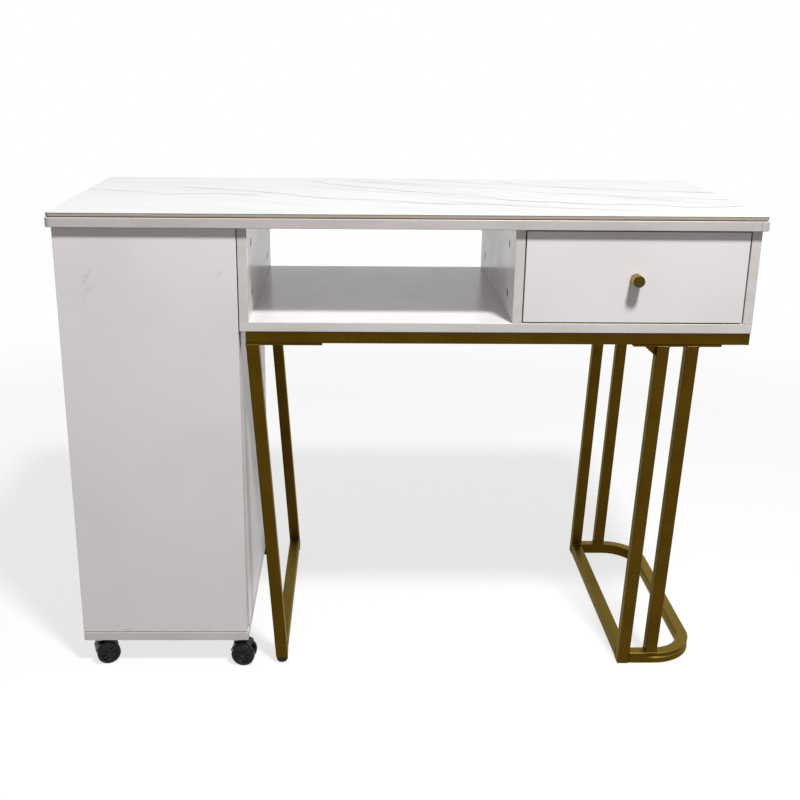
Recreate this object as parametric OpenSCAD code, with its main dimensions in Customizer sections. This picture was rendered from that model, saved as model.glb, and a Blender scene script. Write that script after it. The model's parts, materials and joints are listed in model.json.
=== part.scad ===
/* [Overall] */
// Width of the top board
top_w = 1100; // [900:5:1400]
// Depth of the top board
top_d = 460; // [380:5:600]
// Height from the floor to the top of the stone slab
total_h = 780; // [700:5:850]

/* [Top] */
// Thickness of every laminated board
board_t = 15; // [12:1:18]
// Thickness of the stone slab
stone_t = 6; // [4:1:12]
// Thickness of the adhesive bed under the slab
glue_t = 1; // [0.5:0.5:2]
// How far the slab stands back from the edge of the top board
stone_inset = 2; // [1:0.5:6]
// How far the adhesive stands back from the edge of the slab
glue_inset = 3; // [2:0.5:8]
// Corner radius of the top board, seen from above
top_corner_r = 9; // [4:1:20]
// Overhang of the top board at each side
over_side = 8; // [4:1:20]
// Overhang of the top board at the front
over_front = 10; // [5:1:20]
// Overhang of the top board at the back
over_back = 4; // [2:1:20]

/* [Tall cabinet] */
// Width of the tall cabinet
cab_w = 280; // [240:5:340]
// Gap along the top and bottom edges of the door
door_gap = 1.5; // [1:0.25:3]
// Gap between the door and the low carcass
door_side_gap = 1.5; // [1:0.25:3]
// Room behind the closed door, in which its hinged edge turns
door_back_gap = 3; // [2.75:0.25:4]
// Distance of the pivot axis from the door's hinged edge and from its back face
pivot_in = 6; // [5.5:0.25:6.5]
// Radius of the door's pivot pins
pivot_r = 3; // [2:0.5:3.5]
// Thickness of the cabinet's back panel and of the drawer bay's back panel
back_t = 5; // [3:1:8]
// Depth of each rail across the cabinet's top
top_rail_d = 70; // [50:5:90]

/* [Low carcass and drawer] */
// Clear height of the niche and of the drawer bay
bay_h = 148; // [120:2:180]
// Clear width of the drawer bay
bay_w = 348; // [300:2:400]
// Gap at each side of the drawer front
front_gap = 2; // [1.5:0.5:3]
// Gap above the drawer front
front_top_gap = 3; // [2:0.5:5]
// Depth of the drawer box behind its front
drawer_d = 400; // [300:5:400]
// Height of the drawer's sides
drawer_h = 108; // [80:2:110]
// Thickness of the drawer's sides and back
drawer_side_t = 12; // [10:1:15]
// Thickness of the drawer's bottom panel
drawer_bottom_t = 5; // [3:1:6]
// Diameter of the knob
knob_d = 18; // [14:1:26]
// Length of the knob
knob_l = 22; // [16:1:30]
// Distance of the cam locks from the front and back edges of a board
cam_edge = 66; // [40:2:90]
// Distance of a cam lock's axis from the board it pulls on
cam_reach = 34; // [24:1:36]

/* [Metal frame] */
// Outside width of the square tube
tube = 20; // [16:1:25]
// Wall of the square tube
tube_wall = 1.5; // [1:0.25:2]
// Outside corner radius of the square tube
tube_r = 2; // [1:0.25:2.5]
// How far the front rail stands back from the carcass front
rail_inset = 4; // [2:1:12]
// Space between the tall cabinet and the frame
rail_side_gap = 9; // [4:1:16]
// Thickness of the flat leg plates
plate_t = 3; // [2:0.5:5]
// Length of the plates over the left leg
left_plate_w = 120; // [100:2:160]
// Length of the plates over the right leg
right_plate_w = 140; // [130:2:180]
// Distance from the frame's right end to the right end of the right plates
right_plate_end = 43; // [30:1:80]
// Sideways lean of the left posts over their height
left_lean = 37; // [0:1:60]
// Sideways lean of the right posts over their height
right_lean = 20; // [0:1:40]
// Distance from the right plate's left end to the inner posts
inner_post_in = 38; // [24:1:44]
// Distance between the inner and the outer posts, left face to left face
post_pitch = 47; // [36:1:56]
// Height of the black feet of the left leg
foot_h = 12; // [8:1:20]
// Reach of the base loop to the right of the inner posts
loop_reach = 121; // [110:1:150]
// Outer bend radius of the base loop
loop_r = 77; // [50:1:90]
// Length of the gusset beside the front inner post
gusset_w = 20; // [12:1:30]
// Height of the gusset beside the front inner post
gusset_h = 17; // [10:1:24]

/* [Casters] */
// Distance of the casters' stems from the cabinet's sides
caster_in_x = 22; // [20:1:60]
// Distance of the casters' stems from the cabinet's front and back
caster_in_y = 13; // [13:1:60]
// Diameter of the caster wheels
wheel_d = 40; // [36:1:42]
// Width of one wheel
wheel_w = 9.5; // [8:0.5:11]
// Overall width of a caster's two wheels
wheel_pair_w = 30; // [30:1:34]
// Distance between a caster's swivel axis and its axle
caster_trail = 13; // [12:0.5:16]
// Height of a caster above its wheels
caster_neck = 8; // [6.5:0.5:14]

/* [Hidden] */

$fn = 48;

// Clearances
run_fit = 0.05;          // radial clearance of a shaft that turns in a bore
seat = 0.3;              // space between pieces that slide past each other
through = 1;             // how far a cutting shape runs past the face it opens

// The layout is drawn with the top board's front left corner at X = 0, Y = 0, and the floor at Z = 0.
// place() then moves it so that the origin is the centre of the footprint, knob included.
knob_out = knob_l - over_front;
shift_x = -top_w / 2;
shift_y = -(top_d + knob_out) / 2 + knob_out;

// Heights
board_top = total_h - stone_t - glue_t;
board_under = board_top - board_t;
low_z = board_under - bay_h - board_t;         // underside of the low carcass
shelf_z = low_z + board_t;                     // floor of the niche and of the drawer bay
rail_z = low_z - tube;                         // underside of the rails
plate_z = rail_z - plate_t;                    // underside of the leg plates

cab_ground = wheel_d + caster_neck;            // underside of the tall cabinet

// Plan of the boards
front_y = over_front;
back_y = top_d - over_back;
case_d = back_y - front_y;
cab_x = over_side;
cab_end = cab_x + cab_w;
low_x = cab_end;
low_end = top_w - over_side;
divider_x = low_end - board_t - bay_w - board_t;
bay_x = divider_x + board_t;
niche_x = low_x + board_t;

// Door
door_w = cab_w - door_side_gap;
door_z = cab_ground + board_t + door_gap;
door_top = board_under - door_gap;
door_back = front_y + board_t;
case_front = door_back + door_back_gap;        // front edges of the cabinet's sides
pivot_x = cab_x + pivot_in;
pivot_y = door_back - pivot_in;
pin_in_door = 12;
bush_l = 11;
bush_wall = 1.5;
bush_r = pivot_r + run_fit + bush_wall;
bush_flange = 1.5;
flange_t = door_gap - seat;
pivot_l = pin_in_door + door_gap + bush_l - seat;

// Cabinet interior
cab_inner_x = cab_x + board_t;
cab_inner_w = cab_w - 2 * board_t;
cab_floor = cab_ground + board_t;
cab_back_y = back_y - back_t;
shelf_setback = 12;
shelf_clear = 0.5;
shelf_heights = [for (i = [1, 2]) cab_floor + i * (board_under - cab_floor) / 3];
shelf_pin_r = 2.5;
shelf_pin_l = 16;
shelf_pin_in = 8;
shelf_pin_edge = 45;

// Push latch, on the right wall of the cabinet
latch_w = 14;
latch_h = 16;
latch_l = 62;
latch_z = (cab_floor + board_under) / 2;
latch_nose = 7;                                // plunger showing in front of the housing
latch_r = 3;
latch_travel = 4;
strike_t = 1;
strike_size = 16;
plunger_y = door_back + strike_t + seat;
plunger_l = 40;
housing_y = plunger_y + latch_nose;
latch_x = cab_end - board_t - latch_w / 2;
strike_screw_r = 1.5;

// Drawer, carried by a slide at each side
slide_w = 12.7;
slide_h = 35;
slide_l = drawer_d;
slide_skin = 1.2;
slide_setback = 2;                             // slides behind the drawer front
slide_y = door_back + slide_setback;
middle_web = 4;                                // where the middle member's web starts
middle_lip = 10;
inner_lip = 6;
outer_lip = 9;
half_outer = slide_h / 2;
half_middle = half_outer - slide_skin - seat;
half_inner = half_middle - slide_skin - seat;
drawer_bottom_gap = 2;                         // under the drawer front
drawer_front_z = shelf_z + drawer_bottom_gap;
drawer_front_top = board_under - front_top_gap;
drawer_lift = 12;                              // space under the drawer's sides
drawer_z = shelf_z + drawer_lift;
drawer_x = bay_x + slide_w;
drawer_w = bay_w - 2 * slide_w;
slide_z = drawer_z + drawer_h / 2;
groove_in = 4;
groove_up = 8;
groove_play = 0.1;
drawer_inner_x = drawer_x + drawer_side_t;
drawer_inner_w = drawer_w - 2 * drawer_side_t;
front_screw_zs = [for (i = [-1, 1]) slide_z + i * drawer_h / 3];
front_screw_r = 1.75;
front_screw_l = 30;
front_screw_back = 12;                         // how deep the screw stands in the drawer front
side_centres = [drawer_x + drawer_side_t / 2, drawer_x + drawer_w - drawer_side_t / 2];
knob_x = bay_x + bay_w / 2;
knob_drop = 2;                                 // knob below the middle of the drawer front
knob_z = (drawer_front_z + drawer_front_top) / 2 - knob_drop;
knob_edge = 1.2;
knob_screw_r = 2;
knob_screw_in = 12;
screw_head_r = 4;
screw_head_h = 2.5;

// Cam locks and their bolts
cam_r = 7.5;
cam_depth = 12;
cam_slot_w = 1.8;
cam_slot_l = 9;
cam_slot_depth = 2;
cam_bolt_r = 3.5;
cam_bolt_head = 9;                             // length of the bolt inside the board it pulls on
cam_ys = [front_y + cam_edge, back_y - cam_edge];
// Each joined side board: [X of its cam face, direction from that face into the board]
CABINET_SIDES = [[cab_x + board_t, -1], [cab_end - board_t, 1]];
LOW_SIDES = [[niche_x, -1], [divider_x, 1], [low_end - board_t, 1]];
CAM_SIDES = concat(CABINET_SIDES, LOW_SIDES);

// Metal frame
frame_x = cab_end + rail_side_gap;
frame_end = low_end;
frame_front = front_y + rail_inset;
frame_back = back_y;
frame_len = frame_end - frame_x;
frame_inner_d = frame_back - frame_front - 2 * tube;
right_plate_x = frame_end - right_plate_end - right_plate_w;
inner_x = right_plate_x + inner_post_in;       // inner posts at the plate
outer_x = inner_x + post_pitch;                // outer posts at the plate
left_run = left_lean / (plate_z - foot_h);
right_run = right_lean / plate_z;
inner_foot_x = inner_x - right_lean;
left_foot_x = frame_x + left_lean;
loop_x = inner_foot_x + tube;                  // where the base loop leaves the inner posts
loop_end = loop_x + loop_reach;
foot_inset = 0.2;                              // sides of a foot behind the faces of its post
foot_r = tube / 2 - foot_inset;
foot_edge = 6;                                 // rounding of a foot's lower edge
plug_play = 0.2;
plug_l = 12;
rail_screw_r = 2.5;
rail_screw_bite = 11;
rail_head_r = 4.5;                             // heads inside the rail, against its upper wall
rail_head_h = 2.5;
head_play = 0.5;
rail_screw_xs = [for (i = [1 : 4]) frame_x + left_plate_w
    + i * (right_plate_x - frame_x - left_plate_w) / 5];
plate_bolt_r = 3;
plate_bolt_in = 12;
bolt_head_h = 2;                               // countersunk heads, flush with the plates
bolt_head_r = plate_bolt_r + bolt_head_h;
bolt_spare = 4;                                // end of a bolt past the rail's wall

// Casters
wheel_r = wheel_d / 2;
stem_r = 3;
insert_l = 13;
collar_r = 10;
collar_h = 3;
swivel_gap = seat;
body_top = cab_ground - collar_h - swivel_gap;
body_w = wheel_pair_w - 2 * wheel_w - 2 * seat;
web_r = wheel_r - 4;
bore_floor = wheel_r - 6;
boss_floor = 2;                                // plastic under the stem's bore
arm_drop = 4;                                  // how far the arm reaches below the axle
axle_r = 2;
axle_inset = 2.5;
wheel_edge = 2;
wheel_dish_r = wheel_r - 7;
wheel_dish = 1.5;
hub_r = 4.5;
fender_t = 1.8;
fender_start = 50;
fender_sweep = 110;
fender_gap = 0.6;
fender_w = wheel_pair_w - 3;
// Position of each stem and the direction in which its wheels trail, in degrees
stem_x = [cab_x + caster_in_x, cab_end - caster_in_x];
stem_y = [front_y + caster_in_y, back_y - caster_in_y];
CASTER_FL = [stem_x[0], stem_y[0], 22];
CASTER_FR = [stem_x[1], stem_y[0], -7];
CASTER_BL = [stem_x[0], stem_y[1], -60];
CASTER_BR = [stem_x[1], stem_y[1], -10];
CASTERS = [CASTER_FL, CASTER_FR, CASTER_BL, CASTER_BR];

module place() { translate([shift_x, shift_y, 0]) children(); }

// A box from a corner and a size
module box(corner, size) { translate(corner) cube(size); }

// A round bar along Y, starting at a point
module bar_y(point, radius, length) {
    translate(point) rotate([-90, 0, 0]) cylinder(r = radius, h = length);
}

// A round bar along X, starting at a point
module bar_x(point, radius, length) {
    translate(point) rotate([0, 90, 0]) cylinder(r = radius, h = length);
}

// A rectangle with rounded corners, centred
module round_rect(w, d, r) {
    square([w - 2 * r, d], center = true);
    square([w, d - 2 * r], center = true);
    for (sx = [-1, 1], sy = [-1, 1])
        translate([sx * (w / 2 - r), sy * (d / 2 - r)]) circle(r = r);
}

// A flat board with rounded corners in plan, from a corner and a size
module rounded_board(corner, size, r) {
    translate([corner[0] + size[0] / 2, corner[1] + size[1] / 2, corner[2]])
        linear_extrude(size[2]) round_rect(size[0], size[1], r);
}

// ---------- top ----------

module stone_slab() {
    color("ghostwhite") place()
        rounded_board([stone_inset, stone_inset, board_top + glue_t],
            [top_w - 2 * stone_inset, top_d - 2 * stone_inset, stone_t], top_corner_r - stone_inset);
}

module slab_adhesive() {
    inset = stone_inset + glue_inset;
    color("dimgray") place()
        box([inset, inset, board_top], [top_w - 2 * inset, top_d - 2 * inset, glue_t]);
}

module top_board() {
    color("whitesmoke") place() difference() {
        rounded_board([0, 0, board_under], [top_w, top_d, board_t], top_corner_r);
        translate([pivot_x, pivot_y, board_under - through]) cylinder(r = bush_r, h = bush_l + through);
        for (x = side_planes(), y = cam_ys)
            translate([x, y, board_under - through])
                cylinder(r = cam_bolt_r, h = cam_bolt_head + through);
    }
}

// ---------- cam joints ----------

function side_planes() = [for (s = CAM_SIDES) s[0] + s[1] * board_t / 2];

// Cams under the top board, then cams above the low carcass bottom or the cabinet bottom
function cams() = concat(
    [for (s = CAM_SIDES, y = cam_ys) [s[0], y, board_under - cam_reach, s[1], 1]],
    [for (s = LOW_SIDES, y = cam_ys) [s[0], y, shelf_z + cam_reach, s[1], -1]],
    [for (s = CABINET_SIDES, y = cam_ys) [s[0], y, cab_floor + cam_reach, s[1], -1]]
);

// The hole of one cam lock and the bore of its bolt, cut from the side board
module cam_cut(c) {
    from_x = c[3] > 0 ? c[0] - through : c[0] - cam_depth;
    bar_x([from_x, c[1], c[2]], cam_r, cam_depth + through);
    bolt_z = c[4] > 0 ? c[2] : c[2] - cam_reach - through;
    translate([c[0] + c[3] * board_t / 2, c[1], bolt_z]) cylinder(r = cam_bolt_r, h = cam_reach + through);
}

module cam_lock(c) {
    from_x = c[3] > 0 ? c[0] : c[0] - cam_depth;
    difference() {
        bar_x([from_x, c[1], c[2]], cam_r, cam_depth);
        for (turn = [0, 90]) translate([c[0], c[1], c[2]]) rotate([turn, 0, 0])
            cube([2 * cam_slot_depth, cam_slot_l, cam_slot_w], center = true);
    }
}

// A bolt from just short of its cam to its end in the board that it pulls on
module cam_bolt(c) {
    reach = cam_reach - cam_r - seat;
    z = c[4] > 0 ? c[2] + cam_r + seat : c[2] - cam_reach - cam_bolt_head;
    translate([c[0] + c[3] * board_t / 2, c[1], z])
        cylinder(r = cam_bolt_r - run_fit, h = reach + cam_bolt_head);
}

module cam_locks() { color("dimgray") place() for (c = cams()) cam_lock(c); }

module cam_bolts() { color("silver") place() for (c = cams()) cam_bolt(c); }

// Bores in a bottom board for the bolts of the side boards whose centre planes are given
module bottom_bolt_bores(planes, top_z) {
    for (x = planes, y = cam_ys)
        translate([x, y, top_z - cam_bolt_head]) cylinder(r = cam_bolt_r, h = cam_bolt_head + through);
}

// ---------- tall cabinet ----------

// A side of the cabinet; its inner face looks along +X where inward is 1, and along -X where it is -1
module cabinet_side(x, inward) {
    color("whitesmoke") place() difference() {
        box([x, case_front, cab_floor], [board_t, back_y - case_front, board_under - cab_floor]);
        for (c = cams()) if (abs(c[0] + c[3] * board_t / 2 - x - board_t / 2) < board_t / 4) cam_cut(c);
        for (z = shelf_heights, y = shelf_pin_ys())
            bar_x([inward > 0 ? x + board_t - shelf_pin_in : x - through, y, z - shelf_pin_r],
                shelf_pin_r, shelf_pin_in + through);
    }
}

module cabinet_side_left() { cabinet_side(cab_x, 1); }

module cabinet_side_right() { cabinet_side(cab_end - board_t, -1); }

module cabinet_bottom() {
    color("whitesmoke") place() difference() {
        box([cab_x, front_y, cab_ground], [cab_w, case_d, board_t]);
        translate([pivot_x, pivot_y, cab_floor - bush_l]) cylinder(r = bush_r, h = bush_l + through);
        for (c = CASTERS) translate([c[0], c[1], cab_ground - through])
            cylinder(r = stem_r, h = insert_l + through);
        bottom_bolt_bores([cab_x + board_t / 2, cab_end - board_t / 2], cab_floor);
    }
}

module cabinet_back() {
    color("gainsboro") place()
        box([cab_inner_x, cab_back_y, cab_floor], [cab_inner_w, back_t, board_under - cab_floor]);
}

module cabinet_top_rails() {
    color("whitesmoke") place() for (y = [case_front, cab_back_y - top_rail_d])
        box([cab_inner_x, y, board_under - board_t], [cab_inner_w, top_rail_d, board_t]);
}

function shelf_pin_ys() = [case_front + shelf_setback + shelf_pin_edge, cab_back_y - shelf_pin_edge];

module cabinet_shelves() {
    color("whitesmoke") place() for (z = shelf_heights)
        box([cab_inner_x + shelf_clear, case_front + shelf_setback, z],
            [cab_inner_w - 2 * shelf_clear, cab_back_y - case_front - shelf_setback - shelf_clear, board_t]);
}

module shelf_pins() {
    color("silver") place() for (z = shelf_heights, y = shelf_pin_ys(),
        x = [cab_inner_x - shelf_pin_in, cab_inner_x + cab_inner_w - shelf_pin_l + shelf_pin_in])
        bar_x([x, y, z - shelf_pin_r], shelf_pin_r, shelf_pin_l);
}

// ---------- door on pivot pins ----------

module door() {
    pin_bore = pin_in_door + through;
    color("whitesmoke") place() difference() {
        box([cab_x, front_y, door_z], [door_w, board_t, door_top - door_z]);
        translate([pivot_x, pivot_y, door_z - through]) cylinder(r = pivot_r, h = pin_bore);
        translate([pivot_x, pivot_y, door_top - pin_in_door]) cylinder(r = pivot_r, h = pin_bore);
    }
}

module door_pivot_pins() {
    color("silver") place() {
        translate([pivot_x, pivot_y, door_z + pin_in_door - pivot_l]) cylinder(r = pivot_r, h = pivot_l);
        translate([pivot_x, pivot_y, door_top - pin_in_door]) cylinder(r = pivot_r, h = pivot_l);
    }
}

// A flanged bush: its tube stands in a board and its flange lies on the board's face
module pivot_bush() {
    rotate_extrude() polygon([
        [pivot_r + run_fit, -bush_l], [bush_r, -bush_l], [bush_r, 0], [bush_r + bush_flange, 0],
        [bush_r + bush_flange, flange_t], [pivot_r + run_fit, flange_t]
    ]);
}

module pivot_bushes() {
    color("ivory") place() {
        translate([pivot_x, pivot_y, cab_floor]) pivot_bush();
        translate([pivot_x, pivot_y, board_under]) mirror([0, 0, 1]) pivot_bush();
    }
}

module strike_plate() {
    color("silver") place() difference() {
        box([latch_x - strike_size / 2, door_back, latch_z - strike_size / 2],
            [strike_size, strike_t, strike_size]);
        for (s = [-1, 1])
            bar_y([latch_x + s * (strike_size / 2 - 2 * strike_screw_r), door_back - through, latch_z],
                strike_screw_r, strike_t + 2 * through);
    }
}

module latch_housing() {
    color("gray") place() difference() {
        box([latch_x - latch_w / 2, housing_y, latch_z - latch_h / 2], [latch_w, latch_l, latch_h]);
        bar_y([latch_x, housing_y - through, latch_z], latch_r + run_fit,
            plunger_l - latch_nose + latch_travel + 2 * through);
    }
}

module latch_plunger() {
    color("gainsboro") place() bar_y([latch_x, plunger_y, latch_z], latch_r, plunger_l);
}

// ---------- low carcass ----------

module low_upright(x) {
    color("whitesmoke") place() difference() {
        box([x, front_y, shelf_z], [board_t, case_d, bay_h]);
        for (c = cams()) if (abs(c[0] + c[3] * board_t / 2 - x - board_t / 2) < board_t / 4) cam_cut(c);
    }
}

module carcass_side_left() { low_upright(low_x); }

module carcass_divider() { low_upright(divider_x); }

module carcass_side_right() { low_upright(low_end - board_t); }

module carcass_bottom() {
    planes = [for (i = [2, 3, 4]) side_planes()[i]];
    color("whitesmoke") place() difference() {
        box([low_x, front_y, low_z], [low_end - low_x, case_d, board_t]);
        bottom_bolt_bores(planes, shelf_z);
        for (x = rail_screw_xs, y = rail_centres())
            translate([x, y, low_z - through]) cylinder(r = rail_screw_r, h = rail_screw_bite + through);
    }
}

module drawer_bay_back() {
    color("gainsboro") place() box([bay_x, cab_back_y, shelf_z], [bay_w, back_t, bay_h]);
}

// ---------- drawer ----------

module drawer_front() {
    color("whitesmoke") place() difference() {
        box([bay_x + front_gap, front_y, drawer_front_z],
            [bay_w - 2 * front_gap, board_t, drawer_front_top - drawer_front_z]);
        bar_y([knob_x, front_y - through, knob_z], knob_screw_r, board_t + 2 * through);
        for (x = side_centres, z = front_screw_zs)
            bar_y([x, door_back - front_screw_back, z], front_screw_r, front_screw_back + through);
    }
}

module drawer_side(x, groove_x) {
    color("whitesmoke") place() difference() {
        box([x, door_back, drawer_z], [drawer_side_t, drawer_d, drawer_h]);
        box([groove_x, door_back - through, drawer_z + groove_up - groove_play],
            [groove_in + through, drawer_d + 2 * through, drawer_bottom_t + 2 * groove_play]);
        for (z = front_screw_zs)
            bar_y([x + drawer_side_t / 2, door_back - through, z], front_screw_r,
                front_screw_l - front_screw_back + through);
    }
}

module drawer_side_left() { drawer_side(drawer_x, drawer_inner_x - groove_in); }

module drawer_side_right() {
    drawer_side(drawer_x + drawer_w - drawer_side_t, drawer_inner_x + drawer_inner_w - through);
}

module drawer_back() {
    bottom_top = drawer_z + groove_up + drawer_bottom_t + groove_play;
    color("whitesmoke") place()
        box([drawer_inner_x, door_back + drawer_d - drawer_side_t, bottom_top],
            [drawer_inner_w, drawer_side_t, drawer_z + drawer_h - bottom_top]);
}

module drawer_bottom() {
    side = groove_in - groove_play;
    color("gainsboro") place()
        box([drawer_inner_x - side, door_back, drawer_z + groove_up],
            [drawer_inner_w + 2 * side, drawer_d, drawer_bottom_t]);
}

module drawer_front_screws() {
    color("silver") place() for (x = side_centres, z = front_screw_zs)
        bar_y([x, door_back - front_screw_back, z], front_screw_r, front_screw_l);
}

module knob() {
    color("darkgoldenrod") place() translate([knob_x, front_y, knob_z]) rotate([90, 0, 0])
        rotate_extrude() difference() {
            polygon([
                [0, 0], [knob_d / 2, 0], [knob_d / 2, knob_l - knob_edge],
                [knob_d / 2 - knob_edge, knob_l], [0, knob_l]
            ]);
            square([knob_screw_r, knob_screw_in]);
        }
}

module knob_screw() {
    color("silver") place() {
        bar_y([knob_x, front_y - knob_screw_in, knob_z], knob_screw_r, knob_screw_in + board_t);
        bar_y([knob_x, door_back, knob_z], screw_head_r, screw_head_h);
    }
}

// Slide members are drawn as a section from the carcass wall (x = 0) to the drawer (x = slide_w)
module channel(web_x, lip_x, half_h) {
    low = min(web_x, lip_x);
    span = abs(lip_x - web_x);
    translate([web_x < lip_x ? web_x : web_x - slide_skin, -half_h]) square([slide_skin, 2 * half_h]);
    for (s = [-1, 1])
        translate([low, s > 0 ? half_h - slide_skin : -half_h]) square([span, slide_skin]);
}

module slide_pair(web_x, lip_x, half_h) {
    for (side = [0, 1])
        translate([side == 0 ? bay_x : bay_x + bay_w, slide_y + slide_l, slide_z])
            mirror([side, 0, 0]) rotate([90, 0, 0])
                linear_extrude(slide_l) channel(web_x, lip_x, half_h);
}

module slide_outer_members() { color("silver") place() slide_pair(0, outer_lip, half_outer); }

module slide_middle_members() { color("lightgray") place() slide_pair(middle_web, middle_lip, half_middle); }

module slide_inner_members() { color("silver") place() slide_pair(slide_w, inner_lip, half_inner); }

// ---------- metal frame ----------

function rail_centres() = [frame_front + tube / 2, frame_back - tube / 2];

module tube_section() {
    difference() {
        round_rect(tube, tube, tube_r);
        square(tube - 2 * tube_wall, center = true);
    }
}

// A straight tube along +Z from the origin, its section centred on it
module tube_up(length) { linear_extrude(length) tube_section(); }

// A straight tube along +X from a corner of its own box
module tube_x(corner, length) {
    translate([corner[0], corner[1] + tube / 2, corner[2] + tube / 2]) rotate([0, 90, 0]) tube_up(length);
}

// A straight tube along +Y from a corner of its own box
module tube_y(corner, length) {
    translate([corner[0] + tube / 2, corner[1], corner[2] + tube / 2]) rotate([-90, 0, 0]) tube_up(length);
}

// Holes for the screws that hold the boards, with wider ones below them for their heads, and holes for
// the bolts of the leg plates
module rail_bores(y) {
    for (x = rail_screw_xs) {
        translate([x, y, low_z - tube_wall - through])
            cylinder(r = rail_screw_r, h = tube_wall + 2 * through);
        translate([x, y, rail_z - through])
            cylinder(r = rail_head_r + head_play, h = tube_wall + 2 * through);
    }
    for (x = plate_bolt_xs())
        translate([x, y, rail_z - through]) cylinder(r = plate_bolt_r, h = tube_wall + 2 * through);
}

function plate_bolt_xs() = [
    frame_x + left_plate_w - plate_bolt_in,
    right_plate_x + plate_bolt_in,
    right_plate_x + right_plate_w - plate_bolt_in
];

module long_rail(y) {
    color("darkgoldenrod") place() difference() {
        tube_x([frame_x, y - tube / 2, rail_z], frame_len);
        rail_bores(y);
    }
}

module frame_front_rail() { long_rail(rail_centres()[0]); }

module frame_back_rail() { long_rail(rail_centres()[1]); }

module frame_end_rails() {
    color("darkgoldenrod") place() for (x = [frame_x, frame_end - tube])
        tube_y([x, frame_front + tube, rail_z], frame_inner_d);
}

module leg_plates() {
    color("darkgoldenrod") place() difference() {
        for (y = rail_centres()) {
            box([frame_x, y - tube / 2, plate_z], [left_plate_w, tube, plate_t]);
            box([right_plate_x, y - tube / 2, plate_z], [right_plate_w, tube, plate_t]);
        }
        for (x = plate_bolt_xs(), y = rail_centres()) {
            translate([x, y, plate_z - through]) cylinder(r = plate_bolt_r, h = plate_t + 2 * through);
            translate([x, y, plate_z])
                cylinder(r1 = bolt_head_r + run_fit, r2 = plate_bolt_r + run_fit, h = bolt_head_h);
        }
    }
}

// A tube that leans along X: its left face starts at top_x under the plate and moves by run per
// millimetre of height as it goes down to z_end
module leaning_post(top_x, y, run, z_end) {
    angle = atan(run);
    height = plate_z - z_end;
    spare = 2 * tube;
    intersection() {
        translate([top_x + tube / 2, y, plate_z]) rotate([0, 180 - angle, 0])
            translate([0, 0, -spare]) tube_up(height / cos(angle) + 2 * spare);
        translate([top_x - 2 * abs(run) * height - tube, y - tube, z_end])
            cube([4 * abs(run) * height + 4 * tube, 2 * tube, height]);
    }
}

module left_leg_posts() {
    color("darkgoldenrod") place() for (y = rail_centres()) leaning_post(frame_x, y, left_run, foot_h);
}

module left_leg_stretcher() {
    color("darkgoldenrod") place()
        tube_y([left_foot_x - left_run * tube / 2, frame_front + tube, foot_h], frame_inner_d);
}

module right_inner_posts() {
    color("darkgoldenrod") place() for (y = rail_centres()) leaning_post(inner_x, y, -right_run, 0);
}

module right_outer_posts() {
    color("darkgoldenrod") place() for (y = rail_centres()) leaning_post(outer_x, y, -right_run, tube);
}

module right_leg_stretcher() {
    color("darkgoldenrod") place()
        tube_y([inner_foot_x + right_run * tube / 2, frame_front + tube, 0], frame_inner_d);
}

// The foot of the right leg: a tube from the front inner post round two bends to the back one
module base_loop() {
    color("darkgoldenrod") place() difference() {
        loop_shape() round_rect(tube, tube, tube_r);
        loop_shape() square(tube - 2 * tube_wall, center = true);
    }
}

// Sweeps the section given as its child along the base loop
module loop_shape() {
    bend = loop_r - tube / 2;
    bend_x = loop_end - loop_r;
    start_x = loop_x + right_run * tube;
    for (y = [frame_front, frame_back - tube])
        translate([bend_x, y + tube / 2, tube / 2]) rotate([0, -90, 0])
            linear_extrude(bend_x - start_x) children();
    translate([loop_end - tube / 2, frame_front + loop_r, tube / 2]) rotate([-90, 0, 0])
        linear_extrude(frame_back - frame_front - 2 * loop_r) children();
    translate([bend_x, frame_front + loop_r, tube / 2])
        rotate([0, 0, -90]) rotate_extrude(angle = 90) translate([bend, 0]) children();
    translate([bend_x, frame_back - loop_r, tube / 2])
        rotate_extrude(angle = 90) translate([bend, 0]) children();
}

module gussets() {
    color("darkgoldenrod") place() for (y = rail_centres())
        translate([inner_x, y + plate_t / 2, plate_z]) rotate([90, 0, 0]) linear_extrude(plate_t)
            polygon([[0, 0], [-gusset_w, 0], [-right_run * gusset_h, -gusset_h]]);
}

module foot_plugs() {
    inside = tube - 2 * tube_wall - 2 * plug_play;
    color("black") place() for (y = rail_centres()) {
        translate([left_foot_x + tube / 2, y, 0]) rotate_extrude() intersection() {
            union() {
                square([foot_r - foot_edge, foot_h]);
                translate([0, foot_edge]) square([foot_r, foot_h - foot_edge]);
                translate([foot_r - foot_edge, foot_edge]) circle(r = foot_edge);
            }
            square([foot_r, foot_h]);
        }
        translate([left_foot_x + tube / 2 - left_run * plug_l / 2, y, foot_h + plug_l / 2])
            cube([inside - left_run * plug_l, inside, plug_l], center = true);
    }
}

module frame_screws() {
    head_top = low_z - tube_wall;
    color("silver") place() for (y = rail_centres()) {
        for (x = rail_screw_xs) {
            translate([x, y, head_top - rail_head_h]) cylinder(r = rail_head_r, h = rail_head_h);
            translate([x, y, head_top - rail_head_h / 2])
                cylinder(r = rail_screw_r, h = rail_head_h / 2 + tube_wall + rail_screw_bite);
        }
        for (x = plate_bolt_xs()) {
            translate([x, y, plate_z]) cylinder(r1 = bolt_head_r, r2 = plate_bolt_r, h = bolt_head_h);
            translate([x, y, plate_z]) cylinder(r = plate_bolt_r, h = plate_t + tube_wall + bolt_spare);
        }
    }
}

// ---------- casters ----------
// A caster is drawn with its swivel axis at the origin and its wheels trailing along +X

module at_caster(c) { place() translate([c[0], c[1], 0]) rotate([0, 0, c[2]]) children(); }

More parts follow.
